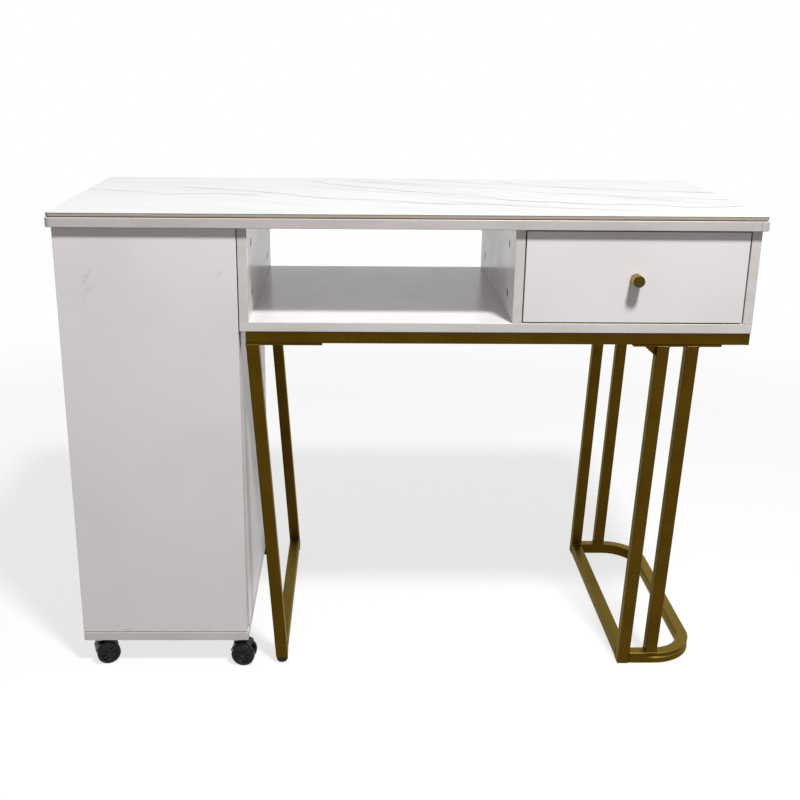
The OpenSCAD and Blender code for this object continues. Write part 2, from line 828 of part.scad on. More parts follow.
module caster_stems() {
    color("dimgray") for (c = CASTERS) at_caster(c) {
        translate([0, 0, cab_ground - collar_h]) cylinder(r = collar_r, h = collar_h);
        translate([0, 0, bore_floor + through]) cylinder(r = stem_r, h = cab_ground - bore_floor);
        translate([0, 0, cab_ground - through]) cylinder(r = stem_r, h = insert_l);
    }
}

module caster_body() {
    boss_r = body_w / 2;
    difference() {
        union() {
            translate([0, 0, bore_floor - boss_floor])
                cylinder(r = boss_r, h = body_top - bore_floor + boss_floor);
            bar_y([caster_trail, -body_w / 2, wheel_r], web_r, body_w);
            box([0, -body_w / 2, wheel_r - arm_drop], [caster_trail, body_w, body_top - wheel_r]);
            caster_fender();
        }
        translate([0, 0, bore_floor]) cylinder(r = stem_r + run_fit, h = body_top);
        bar_y([caster_trail, -body_w, wheel_r], axle_r + run_fit, 2 * body_w);
    }
}

// An arc over the wheels, from above them round to the side of the swivel axis
module caster_fender() {
    translate([caster_trail, 0, wheel_r]) rotate([90, 0, 0]) rotate([0, 0, fender_start])
        rotate_extrude(angle = fender_sweep) translate([wheel_r + fender_gap, -fender_w / 2])
            square([fender_t, fender_w]);
    translate([caster_trail, 0, wheel_r]) rotate([90, 0, 0]) rotate([0, 0, fender_start])
        rotate_extrude(angle = fender_sweep) translate([web_r - through, -body_w / 2])
            square([wheel_r - web_r + fender_gap + 2 * through, body_w]);
}

module caster_axle() {
    l = wheel_pair_w - 2 * axle_inset;
    bar_y([caster_trail, -l / 2, wheel_r], axle_r, l);
}

// One wheel on the +Y side, with rounded tread edges and a dished outer face
module caster_wheel() {
    inner = wheel_pair_w / 2 - wheel_w;
    outer = wheel_pair_w / 2;
    translate([caster_trail, 0, wheel_r]) rotate([-90, 0, 0]) rotate_extrude() difference() {
        union() {
            translate([0, inner]) square([wheel_r, wheel_w - wheel_edge]);
            translate([0, inner]) square([wheel_r - wheel_edge, wheel_w]);
            translate([wheel_r - wheel_edge, outer - wheel_edge]) circle(r = wheel_edge);
        }
        translate([hub_r, outer - wheel_dish]) square([wheel_dish_r - hub_r, wheel_dish + through]);
        square([axle_r, outer - axle_inset]);
    }
}

module caster_wheels() {
    caster_wheel();
    mirror([0, 1, 0]) caster_wheel();
}

module caster_body_fl() { color("black") at_caster(CASTER_FL) caster_body(); }
module caster_body_fr() { color("black") at_caster(CASTER_FR) caster_body(); }
module caster_body_bl() { color("black") at_caster(CASTER_BL) caster_body(); }
module caster_body_br() { color("black") at_caster(CASTER_BR) caster_body(); }

module caster_axle_fl() { color("silver") at_caster(CASTER_FL) caster_axle(); }
module caster_axle_fr() { color("silver") at_caster(CASTER_FR) caster_axle(); }
module caster_axle_bl() { color("silver") at_caster(CASTER_BL) caster_axle(); }
module caster_axle_br() { color("silver") at_caster(CASTER_BR) caster_axle(); }

module caster_wheels_fl() { color("black") at_caster(CASTER_FL) caster_wheels(); }
module caster_wheels_fr() { color("black") at_caster(CASTER_FR) caster_wheels(); }
module caster_wheels_bl() { color("black") at_caster(CASTER_BL) caster_wheels(); }
module caster_wheels_br() { color("black") at_caster(CASTER_BR) caster_wheels(); }

stone_slab();
slab_adhesive();
top_board();
cabinet_side_left();
cabinet_side_right();
cabinet_bottom();
cabinet_back();
cabinet_top_rails();
cabinet_shelves();
shelf_pins();
pivot_bushes();
latch_housing();
latch_plunger();
door();
door_pivot_pins();
strike_plate();
carcass_side_left();
carcass_divider();
carcass_side_right();
carcass_bottom();
drawer_bay_back();
cam_locks();
cam_bolts();
drawer_front();
drawer_side_left();
drawer_side_right();
drawer_back();
drawer_bottom();
knob();
knob_screw();
drawer_front_screws();
slide_outer_members();
slide_middle_members();
slide_inner_members();
frame_front_rail();
frame_back_rail();
frame_end_rails();
leg_plates();
left_leg_posts();
left_leg_stretcher();
foot_plugs();
right_inner_posts();
right_outer_posts();
right_leg_stretcher();
base_loop();
gussets();
frame_screws();
caster_stems();
caster_body_fl();
caster_body_fr();
caster_body_bl();
caster_body_br();
caster_axle_fl();
caster_axle_fr();
caster_axle_bl();
caster_axle_br();
caster_wheels_fl();
caster_wheels_fr();
caster_wheels_bl();
caster_wheels_br();
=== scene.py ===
import json
import math

import bmesh
import bpy
from mathutils import Matrix, Vector

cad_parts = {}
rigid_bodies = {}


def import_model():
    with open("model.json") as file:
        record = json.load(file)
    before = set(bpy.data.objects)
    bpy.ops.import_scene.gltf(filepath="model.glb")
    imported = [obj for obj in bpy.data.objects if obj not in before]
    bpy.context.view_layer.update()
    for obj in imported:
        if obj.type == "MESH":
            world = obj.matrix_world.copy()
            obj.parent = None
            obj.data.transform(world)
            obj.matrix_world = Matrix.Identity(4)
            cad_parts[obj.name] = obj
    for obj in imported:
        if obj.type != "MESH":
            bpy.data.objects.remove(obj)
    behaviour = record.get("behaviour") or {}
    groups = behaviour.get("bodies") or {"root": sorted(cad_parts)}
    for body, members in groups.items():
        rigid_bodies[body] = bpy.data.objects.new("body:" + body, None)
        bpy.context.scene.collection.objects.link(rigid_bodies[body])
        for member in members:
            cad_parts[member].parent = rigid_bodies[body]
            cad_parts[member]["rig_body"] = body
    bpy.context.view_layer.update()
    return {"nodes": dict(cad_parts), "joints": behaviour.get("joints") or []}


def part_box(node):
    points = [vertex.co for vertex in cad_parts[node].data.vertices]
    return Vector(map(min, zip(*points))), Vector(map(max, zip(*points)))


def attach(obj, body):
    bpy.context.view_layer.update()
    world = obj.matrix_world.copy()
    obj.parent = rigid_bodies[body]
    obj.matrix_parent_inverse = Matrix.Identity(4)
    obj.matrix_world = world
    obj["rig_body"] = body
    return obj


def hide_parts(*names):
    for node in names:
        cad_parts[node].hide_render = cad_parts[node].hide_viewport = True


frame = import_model()
NODES = frame["nodes"]

MM = 0.001
X, Y, Z = 0, 1, 2


def srgb(red, green, blue):
    """A colour given as sRGB values from 0 to 255, as the linear colour that a shader takes."""
    linear = [((c / 255 + 0.055) / 1.055) ** 2.4 for c in (red, green, blue)]
    return (*linear, 1)


# Colours of the finishes
BOARD_WHITE = srgb(232, 227, 228)
BOARD_SHADE = srgb(227, 222, 223)
BAND_WHITE = srgb(212, 206, 203)
BAND_SHADE = srgb(205, 198, 195)
TOP_BAND_WHITE = srgb(197, 191, 188)
TOP_BAND_SHADE = srgb(190, 183, 180)
CHIPBOARD = srgb(168, 138, 100)
CHIPBOARD_DARK = srgb(104, 78, 52)
HARDBOARD = srgb(214, 210, 206)
HARDBOARD_SHADE = srgb(210, 206, 202)
STONE_WHITE = srgb(219, 221, 220)
STONE_CLOUD = srgb(166, 170, 170)
STONE_VEIN = srgb(62, 66, 66)
STONE_BODY = srgb(181, 171, 155)
STONE_RIM = srgb(112, 98, 82)
ADHESIVE = srgb(46, 42, 40)
GOLD = srgb(92, 68, 14)
GOLD_PALE = srgb(112, 92, 40)
GOLD_DARK = srgb(64, 46, 5)
# Painted light on the frame: a lighter gold given to upward faces as a highlight
GOLD_PAINTED_TOP_LIGHT = srgb(126, 108, 50)
# Painted shade on the frame: a darker olive given to faces that look sideways along X
GOLD_PAINTED_SIDE_SHADE = srgb(46, 40, 20)
GOLD_SHEEN = (1, 0.86, 0.55, 1)
KNOB_FACE = srgb(70, 56, 24)
KNOB_LIGHT = srgb(92, 76, 38)
# Painted reflection: a pale gold given to the knob's round side
KNOB_PAINTED_SIDE_GLINT = srgb(168, 146, 96)
STEEL = srgb(172, 174, 178)
STEEL_SHADE = srgb(128, 130, 134)
CAM_ZINC = srgb(92, 90, 88)
CAM_SHADE = srgb(48, 47, 46)
BLACK = srgb(5, 5, 5)
BLACK_DUSTY = srgb(20, 20, 19)
IVORY = srgb(214, 208, 194)
LATCH_GREY = srgb(140, 141, 144)


# ---------- materials ----------

class Finish:
    """One procedural material: its nodes, and the shader that they feed."""

    def __init__(self, name, **values):
        self.material = bpy.data.materials.new(name)
        self.material.use_nodes = True
        self.tree = self.material.node_tree
        self.shader = self.tree.nodes["Principled BSDF"]
        for socket, value in values.items():
            self.shader.inputs[socket.replace("_", " ")].default_value = value
        source = self.node("TexCoord")
        self.place = source.outputs["Object"]
        self.facing = source.outputs["Normal"]

    def node(self, kind, inputs=None, **settings):
        made = self.tree.nodes.new("ShaderNode" + kind)
        for key, value in settings.items():
            setattr(made, key, value)
        for key, value in (inputs or {}).items():
            self.put(made.inputs[key], value)
        return made

    def put(self, socket, value):
        """Links a socket to another node's output, or gives it a value."""
        if isinstance(value, bpy.types.NodeSocket):
            self.tree.links.new(value, socket)
        else:
            socket.default_value = value

    def set(self, socket, value):
        self.put(self.shader.inputs[socket], value)

    def math(self, operation, *values):
        made = self.node("Math", operation=operation)
        for socket, value in zip(made.inputs, values):
            self.put(socket, value)
        return made.outputs[0]

    def grain(self, size, turn=(0, 0, 0), centre=(0, 0, 0)):
        """Coordinates counted in features of this size along each axis, turned about a centre."""
        sizes = size if hasattr(size, "__len__") else (size, size, size)
        inputs = {"Vector": self.place, "Location": centre, "Rotation": turn, "Scale": sizes}
        return self.node("Mapping", inputs, vector_type="TEXTURE").outputs[0]

    def noise(self, size, detail=3.0, turn=(0, 0, 0), roughness=0.5):
        inputs = {"Vector": self.grain(size, turn), "Scale": 1.0, "Detail": detail, "Roughness": roughness}
        return self.node("TexNoise", inputs).outputs[0]

    def remap(self, value, low, high, to_low=0.0, to_high=1.0):
        """Turns a value from low to high into one from to_low to to_high, with soft ends."""
        made = self.node("MapRange", interpolation_type="SMOOTHSTEP")
        for socket, given in zip(made.inputs, (value, low, high, to_low, to_high)):
            self.put(socket, given)
        return made.outputs[0]

    def mix(self, factor, first, second):
        made = self.node("Mix", data_type="RGBA")
        self.put(made.inputs[0], factor)
        self.put(made.inputs[6], first)
        self.put(made.inputs[7], second)
        return made.outputs[2]

    def axis(self, index):
        """One coordinate in the part's frame, in metres."""
        return self.node("SeparateXYZ", {"Vector": self.place}).outputs[index]

    def faces(self, index):
        """How far a surface faces along one axis, from -1 to 1."""
        return self.node("SeparateXYZ", {"Vector": self.facing}).outputs[index]

    def bump(self, height, distance):
        inputs = {"Height": height, "Distance": distance, "Strength": 1.0}
        self.set("Normal", self.node("Bump", inputs).outputs[0])

    def curve(self, value, points):
        """A smooth curve through points whose two coordinates run from 0 to 1."""
        made = self.node("FloatCurve", {"Value": value})
        line = made.mapping.curves[0]
        line.points[0].location = points[0]
        line.points[1].location = points[-1]
        for point in points[1:-1]:
            line.points.new(*point)
        made.mapping.update()
        return made.outputs[0]


def laminate(name, scuffs=()):
    """Glossy white melamine: a faint mottle, orange peel, and hand smudges in the gloss."""
    finish = Finish(name, Specular_IOR_Level=0.35)
    cloud = finish.remap(finish.noise(0.16, 4), 0.35, 0.7)
    colour = finish.mix(cloud, BOARD_WHITE, BOARD_SHADE)
    roughness = finish.remap(finish.noise(0.05, 5), 0.4, 0.7, 0.22, 0.26)
    for scuff in scuffs:
        mark = scuff_mask(finish, *scuff)
        colour = finish.mix(mark, colour, SCUFF_GREY)
        roughness = finish.math("ADD", roughness, finish.math("MULTIPLY", mark, 0.3))
    finish.set("Base Color", colour)
    finish.set("Roughness", roughness)
    finish.bump(finish.noise(2.2 * MM, 1), 0.02 * MM)
    return finish.material


SCUFF_GREY = srgb(150, 145, 150)


def scuff_mask(finish, centre, slope, length, width, depth):
    """A broken rubbed line on the door's face, at a slope in degrees from level."""
    turn = (0, -math.radians(slope), 0)
    local = finish.grain((length / 2, 1, width / 2), turn, centre)
    reach = finish.node("VectorMath", {0: local}, operation="LENGTH").outputs["Value"]
    spot = finish.remap(reach, 0.4, 1.0, 1.0, 0.0)
    broken = finish.remap(finish.noise(1.6 * MM, 4), 0.46, 0.6)
    return finish.math("MULTIPLY", finish.math("MULTIPLY", spot, broken), depth)


def edge_band(name, pale, shade, seams=()):
    """The thin plastic strip on a board's edges, a shade warmer than the faces, and its butt joints."""
    finish = Finish(name, Specular_IOR_Level=0.4)
    cloud = finish.remap(finish.noise((0.09, 0.09, 0.02), 3), 0.35, 0.7)
    colour = finish.mix(cloud, pale, shade)
    for seam in seams:
        apart = finish.math("ABSOLUTE", finish.math("SUBTRACT", finish.axis(X), seam))
        colour = finish.mix(finish.remap(apart, 0.1 * MM, 0.5 * MM, 0.75, 0.0), colour, BLACK_DUSTY)
    finish.set("Base Color", colour)
    finish.set("Roughness", finish.remap(finish.noise(0.02, 4), 0.3, 0.7, 0.22, 0.36))
    finish.bump(finish.noise(3 * MM, 2), 0.03 * MM)
    return finish.material


def chipboard():
    """The bare wood chips inside a board, seen in its holes."""
    finish = Finish("chipboard", Roughness=0.85)
    chips = finish.remap(finish.noise((2 * MM, 2 * MM, 1 * MM), 5), 0.35, 0.65)
    finish.set("Base Color", finish.mix(chips, CHIPBOARD_DARK, CHIPBOARD))
    finish.bump(chips, 0.3 * MM)
    return finish.material


def hardboard():
    """White painted hardboard for the backs and the drawer's bottom."""
    finish = Finish("hardboard", Specular_IOR_Level=0.3)
    fibres = finish.noise((4 * MM, 4 * MM, 2 * MM), 5)
    colour = finish.mix(finish.remap(finish.noise(0.12, 4), 0.3, 0.7), HARDBOARD, HARDBOARD_SHADE)
    finish.set("Base Color", colour)
    finish.set("Roughness", finish.remap(fibres, 0.3, 0.7, 0.45, 0.62))
    finish.bump(fibres, 0.06 * MM)
    return finish.material


# Vein lines of the slab, in millimetres from the top board's front left corner:
# (half width, darkness, (where it starts and ends along X), points)
VEINS = [
    (7, 1.0, (345, 1120), [
        (0, 459), (330, 450), (430, 360), (520, 300), (570, 270), (620, 240), (690, 205), (730, 165),
        (800, 147), (850, 128), (950, 127), (1000, 104), (1100, 118)]),
    (9, 0.75, (-40, 330), [
        (0, 290), (40, 263), (100, 247), (140, 221), (200, 225), (250, 227), (290, 213), (1100, 120)]),
    (11, 0.6, (130, 690), [
        (0, 350), (130, 317), (220, 290), (300, 253), (350, 227), (400, 187), (450, 170), (510, 163),
        (580, 127), (670, 113), (1100, 60)]),
    (8, 0.8, (700, 1140), [
        (0, 459), (700, 417), (770, 387), (830, 350), (890, 323), (950, 310), (1020, 297), (1100, 277)]),
    (8, 0.55, (740, 1140), [
        (0, 459), (740, 300), (800, 262), (880, 245), (950, 215), (1020, 205), (1100, 190)]),
    (10, 0.55, (610, 960), [
        (0, 300), (610, 150), (700, 112), (790, 84), (880, 66), (960, 60), (1100, 30)]),
]
VEIN_TURN = (0, 0, math.radians(-24))


def marble():
    """White marble: soft grey clouds and streaks, and thin wandering veins."""
    finish = Finish("marble", Specular_IOR_Level=0.1)
    low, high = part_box("top_board")
    across = finish.math("DIVIDE", finish.math("SUBTRACT", finish.axis(X), low.x), high.x - low.x)
    depth = finish.math("DIVIDE", finish.math("SUBTRACT", finish.axis(Y), low.y), high.y - low.y)
    wander = finish.math("MULTIPLY", finish.math("SUBTRACT", finish.noise(0.05, 5), 0.5), 0.035)
    depth = finish.math("ADD", depth, wander)
    size_mm = (high - low) / MM

    streaks = finish.noise((0.26, 0.013, 1), 5, VEIN_TURN, 0.62)
    patches = finish.noise((0.5, 0.12, 1), 3, VEIN_TURN)
    rightward = finish.remap(across, 0.1, 0.5, 0.3, 1.0)
    cloud = finish.math("MULTIPLY", finish.remap(streaks, 0.46, 0.78), finish.remap(patches, 0.35, 0.6))
    cloud = finish.math("MULTIPLY", cloud, rightward)
    colour = finish.mix(cloud, STONE_WHITE, STONE_CLOUD)

    for half_width, darkness, (start, end), points in VEINS:
        line = finish.curve(across, [(x / size_mm.x, y / size_mm.y) for x, y in points])
        off = finish.math("MULTIPLY", finish.math("SUBTRACT", depth, line), size_mm.y)
        colour = vein(finish, colour, across, off, half_width, darkness, start / size_mm.x, end / size_mm.x)
    finish.set("Base Color", colour)
    finish.set("Roughness", finish.remap(finish.noise(0.07, 4), 0.3, 0.7, 0.10, 0.18))
    return finish.material


def vein(finish, colour, across, off, half_width, darkness, start, end):
    """A dark core line with a feathered grey shadow on its front side."""
    fade = 0.05
    along = finish.math("MULTIPLY", finish.remap(across, start, start + fade),
                        finish.remap(across, end - fade, end, 1.0, 0.0))
    swell = finish.remap(finish.noise((0.09, 0.09, 1), 3), 0.3, 0.7, 0.35, 1.0)
    core = finish.remap(finish.math("ABSOLUTE", off), 0.0, half_width, 1.0, 0.0)
    core = finish.math("MULTIPLY", finish.math("POWER", core, 1.6), swell)
    below = finish.math("MULTIPLY", finish.remap(off, -8 * half_width, 0.0), finish.remap(off, 0.0, 1.5, 1.0, 0.0))
    feathers = finish.remap(finish.noise((0.03, 0.004, 1), 5, VEIN_TURN, 0.7), 0.5, 0.72)
    shadow = finish.math("MULTIPLY", finish.math("MULTIPLY", below, feathers), 0.5)
    mask = finish.math("MULTIPLY", finish.math("MAXIMUM", core, shadow), along)
    return finish.mix(finish.math("MULTIPLY", mask, darkness), colour, STONE_VEIN)


def stone_edge():
    """The slab's bare edge: a beige body between the dark lines of its glaze and its bed."""
    finish = Finish("stone_edge", Specular_IOR_Level=0.3)
    low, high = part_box("stone_slab")
    speckle = finish.remap(finish.noise((1.5 * MM, 1.5 * MM, 0.6 * MM), 5), 0.3, 0.7)
    body = finish.mix(speckle, srgb(164, 153, 136), STONE_BODY)
    uneven = finish.math("MULTIPLY", finish.math("SUBTRACT", finish.noise(0.09, 3), 0.5), 2.4 * MM)
    height = finish.math("ADD", finish.axis(Z), uneven)
    top_line = finish.remap(height, high.z - 1.9 * MM, high.z - 0.9 * MM)
    bed_line = finish.remap(height, low.z + 0.6 * MM, low.z + 1.9 * MM, 0.85, 0.0)
    colour = finish.mix(finish.math("MAXIMUM", top_line, bed_line), body, STONE_RIM)
    finish.set("Base Color", colour)
    finish.set("Roughness", finish.remap(speckle, 0, 1, 0.35, 0.6))
    finish.bump(speckle, 0.08 * MM)
    return finish.material


def adhesive():
    finish = Finish("adhesive", Roughness=0.6)
    lumps = finish.noise(4 * MM, 3)
    finish.set("Base Color", finish.mix(lumps, ADHESIVE, BLACK_DUSTY))
    finish.bump(lumps, 0.4 * MM)
    return finish.material


def gold():
    """Satin antique gold paint on steel: a fine even grain and olive in places, with a painted highlight on upper
    faces and painted shade on faces that look along X.
    """
    finish = Finish("frame_gold", Metallic=1.0, Specular_Tint=GOLD_SHEEN)
    grain = finish.noise(2 * MM, 4, roughness=0.6)
    flakes = finish.noise(0.8 * MM, 2, roughness=0.8)
    clouds = finish.remap(finish.noise(0.05, 4), 0.35, 0.7, 0.0, 0.45)
    colour = finish.mix(finish.remap(grain, 0.3, 0.7), GOLD_DARK, GOLD)
    colour = finish.mix(finish.remap(flakes, 0.5, 0.85, 0.0, 0.4), colour, GOLD_PALE)
    colour = finish.mix(clouds, colour, GOLD_DARK)
    # Painted highlight: faces that look upwards are lightened towards a paler gold
    colour = finish.mix(finish.remap(finish.faces(Z), 0.3, 0.9, 0.0, 0.7), colour, GOLD_PAINTED_TOP_LIGHT)
    # Painted shade: faces that look along X are darkened towards a dark olive
    painted_shade_sides = finish.math("ABSOLUTE", finish.faces(X))
    colour = finish.mix(finish.remap(painted_shade_sides, 0.7, 0.98, 0.0, 0.65), colour, GOLD_PAINTED_SIDE_SHADE)
    finish.set("Base Color", colour)
    finish.set("Roughness", finish.remap(grain, 0.25, 0.75, 0.36, 0.50))
    finish.bump(finish.math("ADD", finish.math("MULTIPLY", grain, 0.6), flakes), 0.04 * MM)
    return finish.material


def knob_metal():
    """Brushed antique gold with turning marks, with a painted pale reflection round its side and a painted dark
    reflection along its rim.
    """
    finish = Finish("knob_metal", Metallic=1.0, Specular_Tint=GOLD_SHEEN)
    low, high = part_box("knob")
    local = finish.grain(1.0, centre=(low + high) / 2)
    flat = finish.node("VectorMath", {0: local, 1: (1, 0, 1)}, operation="MULTIPLY").outputs[0]
    radius = finish.node("VectorMath", {0: flat}, operation="LENGTH").outputs["Value"]
    inputs = {"W": radius, "Scale": 2600.0, "Detail": 3.0}
    rings = finish.node("TexNoise", inputs, noise_dimensions="1D").outputs[0]
    spots = finish.remap(finish.noise(2 * MM, 3), 0.4, 0.7, 0.0, 0.4)
    colour = finish.mix(finish.remap(rings, 0.3, 0.7), KNOB_FACE, KNOB_LIGHT)
    colour = finish.mix(spots, colour, GOLD_DARK)
    ahead = finish.math("ABSOLUTE", finish.faces(Y))
    # Painted reflection: faces that look sideways take a pale gold
    colour = finish.mix(finish.remap(ahead, 0.1, 0.4, 1.0, 0.0), colour, KNOB_PAINTED_SIDE_GLINT)
    # Painted reflection: the slanted faces of the rim are darkened towards dark gold
    painted_dark_rim_reflection = finish.math("MULTIPLY", finish.remap(ahead, 0.1, 0.4), finish.remap(ahead, 0.9, 0.99, 1.0, 0.0))
    colour = finish.mix(painted_dark_rim_reflection, colour, GOLD_DARK)
    finish.set("Base Color", colour)
    finish.set("Roughness", finish.remap(rings, 0.3, 0.7, 0.26, 0.4))
    finish.bump(rings, 0.03 * MM)
    return finish.material


def steel(name, bright, shade, metallic=0.9):
    """Zinc plate: pale spangle with duller patches."""
    finish = Finish(name, Metallic=metallic)
    spangle = finish.remap(finish.noise(3 * MM, 4), 0.35, 0.65)
    finish.set("Base Color", finish.mix(spangle, bright, shade))
    finish.set("Roughness", finish.remap(finish.noise(8 * MM, 3), 0.3, 0.7, 0.28, 0.45))
    finish.bump(finish.noise(0.8 * MM, 3), 0.02 * MM)
    return finish.material


def plastic(name, colour, dusty, rough=(0.3, 0.5), texture=0.05 * MM):
    """Moulded plastic: a fine spark-eroded texture, with dust in places."""
    finish = Finish(name, Specular_IOR_Level=0.25)
    dust = finish.remap(finish.noise(6 * MM, 5), 0.5, 0.8)
    finish.set("Base Color", finish.mix(dust, colour, dusty))
    finish.set("Roughness", finish.remap(finish.noise(4 * MM, 4), 0.3, 0.7, *rough))
    finish.bump(finish.noise(0.6 * MM, 2), texture)
    return finish.material


# ---------- meshes ----------

def add_piece(name, bm, materials, sharp=None):
    """A new object from a bmesh, shaded smooth. Edges sharper than an angle, when one is given, stay sharp."""
    mesh = bpy.data.meshes.new(name)
    bmesh.ops.recalc_face_normals(bm, faces=bm.faces)
    for face in bm.faces:
        face.smooth = True
    bm.to_mesh(mesh)
    bm.free()
    for material in materials:
        mesh.materials.append(material)
    piece = bpy.data.objects.new(name, mesh)
    bpy.context.scene.collection.objects.link(piece)
    if sharp is not None:
        mesh.set_sharp_from_angle(angle=math.radians(sharp))
    return piece


def keep_flats(piece):
    """Leaves the large flat faces of a bevelled piece flat in its shading."""
    piece.modifiers.new("flats", "WEIGHTED_NORMAL").keep_sharp = True


def stand_for(piece, *nodes):
    """The piece takes the place and the body of CAD nodes, which it hides."""
    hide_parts(*nodes)
    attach(piece, NODES[nodes[0]]["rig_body"])


def dress(material, *nodes):
    """Gives CAD nodes a material."""
    for node in nodes:
        for slot in NODES[node].material_slots:
            slot.material = material


def solids(node):
    """The lowest and highest corner of each separate solid in a CAD node."""
    bm = bmesh.new()
    bm.from_mesh(NODES[node].data)
    bmesh.ops.remove_doubles(bm, verts=bm.verts, dist=1e-6)
    seen, boxes = set(), []
    for start in bm.verts:
        if start in seen:
            continue
        group, waiting = [], [start]
        seen.add(start)
        while waiting:
            vertex = waiting.pop()
            group.append(vertex.co.copy())
            for edge in vertex.link_edges:
                other = edge.other_vert(vertex)
                if other not in seen:
                    seen.add(other)
                    waiting.append(other)
        boxes.append((Vector(map(min, *group)), Vector(map(max, *group))))
    bm.free()
    return boxes


def add_block(bm, low, high, edge, thin=None):
    """A block with rounded edges. With a thin axis, its narrow sides take the second material."""
    made = bmesh.ops.create_cube(bm, size=1)["verts"]
    centre, size = (low + high) / 2, high - low
    for vertex in made:
        vertex.co = centre + Vector([a * b for a, b in zip(vertex.co, size)])
    edges = {e for v in made for e in v.link_edges}
    before = set(bm.faces) - {f for v in made for f in v.link_faces}
    bmesh.ops.bevel(bm, geom=list(edges), offset=edge, segments=3, profile=0.5, affect="EDGES")
    if thin is not None:
        bm.normal_update()
        for face in set(bm.faces) - before:
            face.material_index = 0 if abs(face.normal[thin]) > 0.95 else 1


def rounded_outline(low, high, radius, steps=10):
    """The corners of a rectangle in plan, each rounded with an arc."""
    centres = [(high.x - radius, high.y - radius), (low.x + radius, high.y - radius),
               (low.x + radius, low.y + radius), (high.x - radius, low.y + radius)]
    points = []
    for quarter, (x, y) in enumerate(centres):
        for step in range(steps + 1):
            angle = math.radians(90 * (quarter + step / steps))
            points.append((x + radius * math.cos(angle), y + radius * math.sin(angle)))
    return points


def plate(name, low, high, radius, edge, materials):
    """A flat board with rounded corners in plan and rounded rims; its rim takes the second material."""
    bm = bmesh.new()
    base = bm.faces.new([bm.verts.new((x, y, low.z)) for x, y in rounded_outline(low, high, radius)])
    grown = bmesh.ops.extrude_face_region(bm, geom=[base])["geom"]
    bmesh.ops.translate(bm, verts=[g for g in grown if isinstance(g, bmesh.types.BMVert)],
                        vec=(0, 0, high.z - low.z))
    rims = [e for e in bm.edges if abs(e.verts[0].co.z - e.verts[1].co.z) < 1e-6]
    bmesh.ops.bevel(bm, geom=rims, offset=edge, segments=3, profile=0.5, affect="EDGES")
    bm.normal_update()
    for face in bm.faces:
        face.material_index = 0 if abs(face.normal.z) > 0.95 else 1
    piece = add_piece(name, bm, materials)
    keep_flats(piece)
    return piece


def bore(piece, holes, wall_index):
    """Cuts round blind holes along X, each (centre, radius, half length), out of a piece."""
    bm = bmesh.new()
    for centre, radius, half in holes:
        turned = Matrix.Translation(centre) @ Matrix.Rotation(math.pi / 2, 4, "Y")
        bmesh.ops.create_cone(bm, cap_ends=True, segments=32, radius1=radius, radius2=radius,
                              depth=2 * half, matrix=turned)
    for face in bm.faces:
        face.material_index = wall_index
    cutter = add_piece("cutter", bm, [])
    modifier = piece.modifiers.new("bores", "BOOLEAN")
    modifier.object = cutter
    modifier.solver = "EXACT"
    graph = bpy.context.evaluated_depsgraph_get()
    piece.data = bpy.data.meshes.new_from_object(piece.evaluated_get(graph))
    piece.modifiers.clear()
    bpy.data.objects.remove(cutter)


def sweep(bm, rings, closed=False):
    """Skins a row of rings of points, and closes it on itself or with end faces."""
    made = [[bm.verts.new(point) for point in ring] for ring in rings]
    pairs = list(zip(made, made[1:] + made[:1])) if closed else list(zip(made, made[1:]))
    count = len(made[0])
    for first, second in pairs:
        for i in range(count):
            j = (i + 1) % count
            bm.faces.new((first[i], first[j], second[j], second[i]))
    if not closed:
        bm.faces.new(made[0])
        bm.faces.new(made[-1])


def lathe(bm, profile, matrix, steps=48):
    """Turns a profile of (radius, height) points, which starts and ends on the axis, about local Z."""
    inner = [p for p in profile if p[0] > 0]
    rings = []
    for radius, height in inner:
        ring = []
        for step in range(steps):
            angle = 2 * math.pi * step / steps
            point = Vector((radius * math.cos(angle), radius * math.sin(angle), height))
            ring.append(bm.verts.new(matrix @ point))
        rings.append(ring)
    for first, second in zip(rings, rings[1:]):
        for i in range(steps):
            j = (i + 1) % steps
            bm.faces.new((first[i], first[j], second[j], second[i]))
    for ring, end in ((rings[0], profile[0]), (rings[-1], profile[-1])):
        tip = bm.verts.new(matrix @ Vector((0, 0, end[1])))
        for i in range(steps):
            bm.faces.new((ring[i], ring[(i + 1) % steps], tip))


def arc(centre, radius, start, end, steps):
    """Points on an arc in a profile, from one angle to another in degrees."""
    points = []
    for step in range(steps + 1):
        angle = math.radians(start + (end - start) * step / steps)
        points.append((centre[0] + radius * math.cos(angle), centre[1] + radius * math.sin(angle)))
    return points


# ---------- boards ----------

EDGE_ROUND = 0.8 * MM
# Each board made of one panel: (node, the axis along its thickness)
BOARDS = [
    ("cabinet_side_left", X), ("cabinet_side_right", X), ("cabinet_bottom", Z),
    ("carcass_side_left", X), ("carcass_divider", X), ("carcass_side_right", X), ("carcass_bottom", Z),
    ("drawer_front", Y), ("drawer_back", Y),
]
CAM_PLAY = 0.35 * MM


def cam_holes(low, high):
    """The holes of the cam locks that stand in a board."""
    holes = []
    for cam_low, cam_high in solids("cam_locks"):
        centre = (cam_low + cam_high) / 2
        if all(low[i] <= centre[i] <= high[i] for i in range(3)):
            radius = (cam_high.z - cam_low.z) / 2 + CAM_PLAY
            holes.append((centre, radius, (cam_high.x - cam_low.x) / 2 + CAM_PLAY))
    return holes


